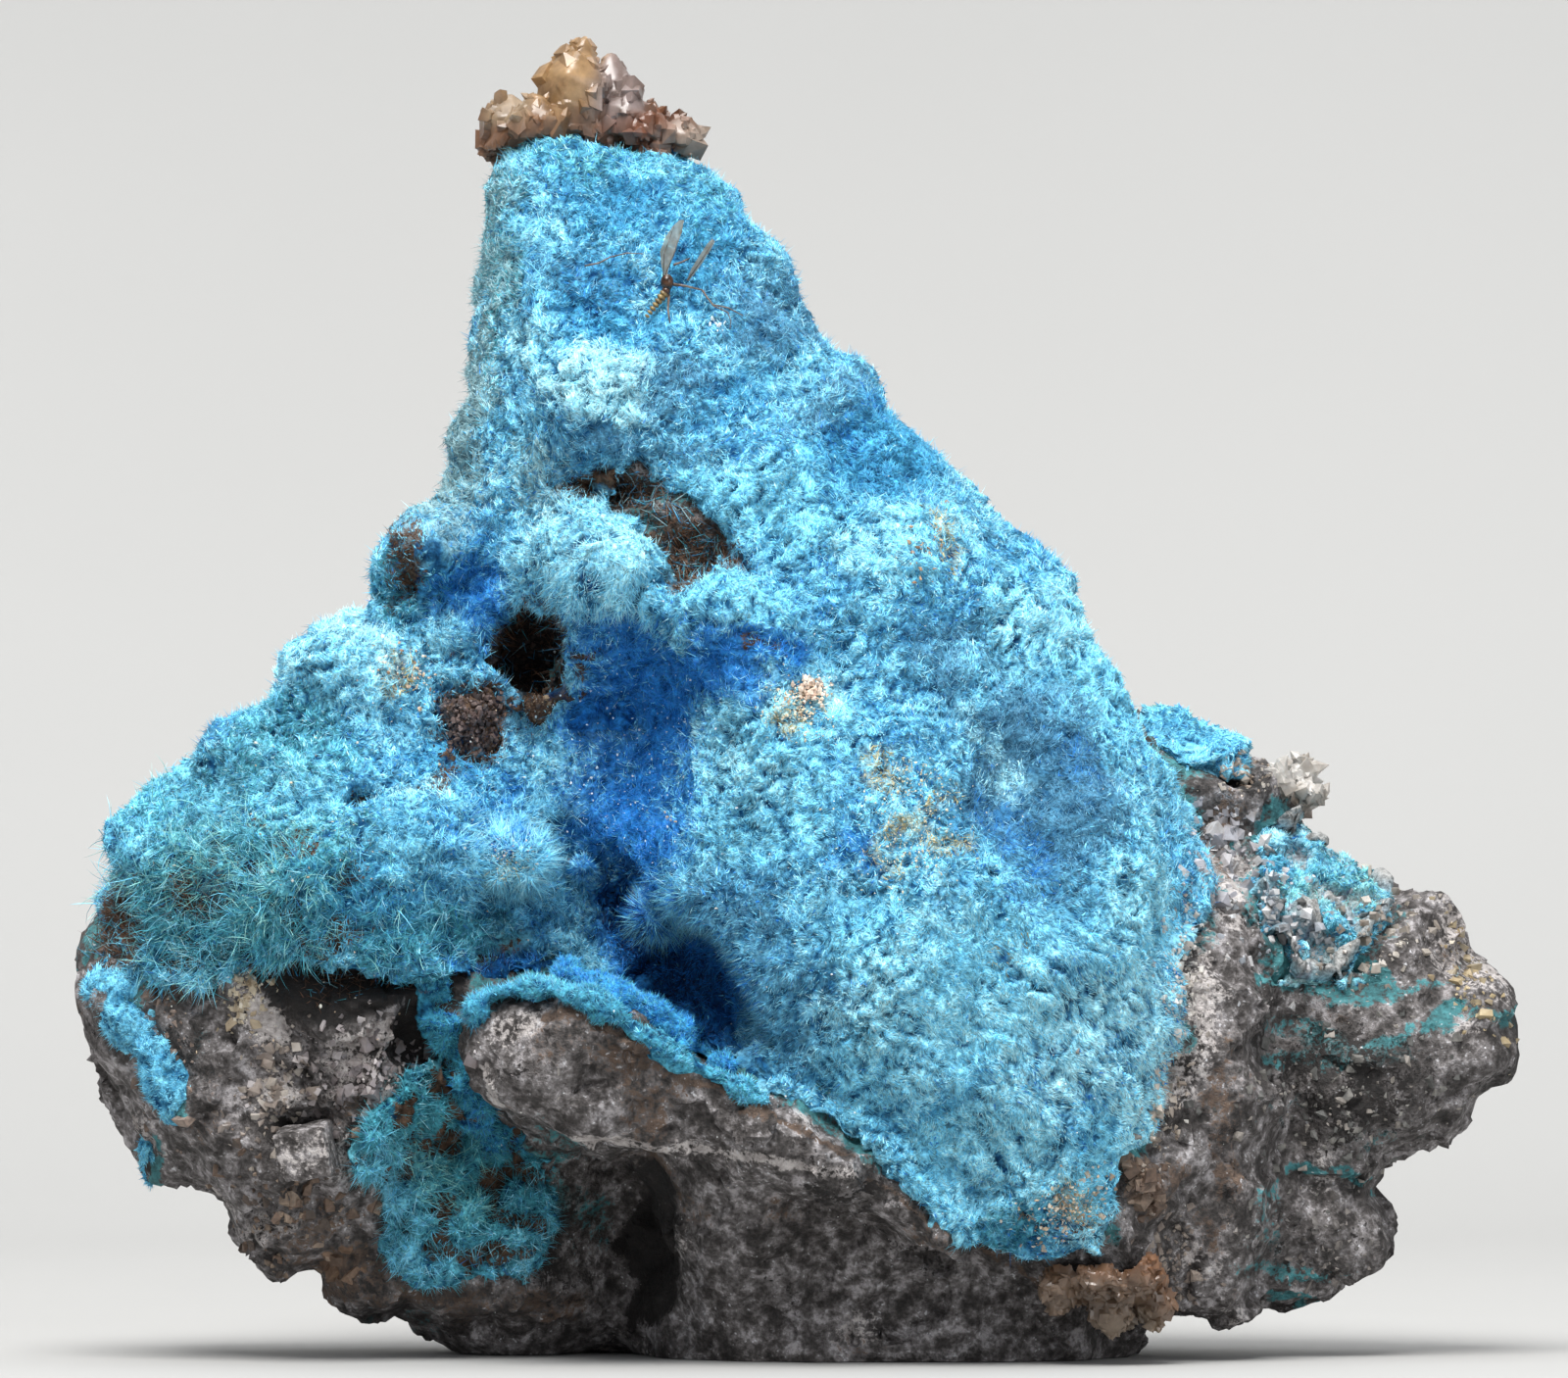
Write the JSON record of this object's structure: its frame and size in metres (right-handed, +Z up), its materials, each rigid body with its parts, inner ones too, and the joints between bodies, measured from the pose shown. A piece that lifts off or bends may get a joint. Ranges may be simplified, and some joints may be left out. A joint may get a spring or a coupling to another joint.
{
  "type": "cyanotrichite specimen",
  "caption": "Broken spire of vein rock under a velvet of blue needle crystals, with quartz on its tip, flank and lower corner.",
  "frame": {"origin": "on the flat at the foot of the rock, towards its front", "axes": "+Z up, +X to the right of a viewer who faces the blue slab, +Y away from that viewer"},
  "size_m": [0.0362, 0.0174, 0.0338],
  "materials": {
    "vein_rock": "grey-brown vein rock, rough, with glints of quartz",
    "blue_velvet": "velvet of fine blue needle crystals, silky",
    "teal_velvet": "velvet of fine turquoise needle crystals, silky",
    "honey_quartz": "translucent honey-brown quartz",
    "clear_quartz": "clear to milky quartz",
    "brown_quartz": "translucent brown quartz",
    "gnat_brown": "dry brown insect"
  },
  "bodies": {
    "root": {"host_rock": "vein_rock", "blue_crust": "blue_velvet", "foot_crust": "teal_velvet", "peak_crust": "teal_velvet", "flank_crust": "teal_velvet", "tip_quartz": "honey_quartz", "peak_quartz": "clear_quartz", "corner_quartz": "brown_quartz", "gnat": "gnat_brown"}
  },
  "joints": []
}
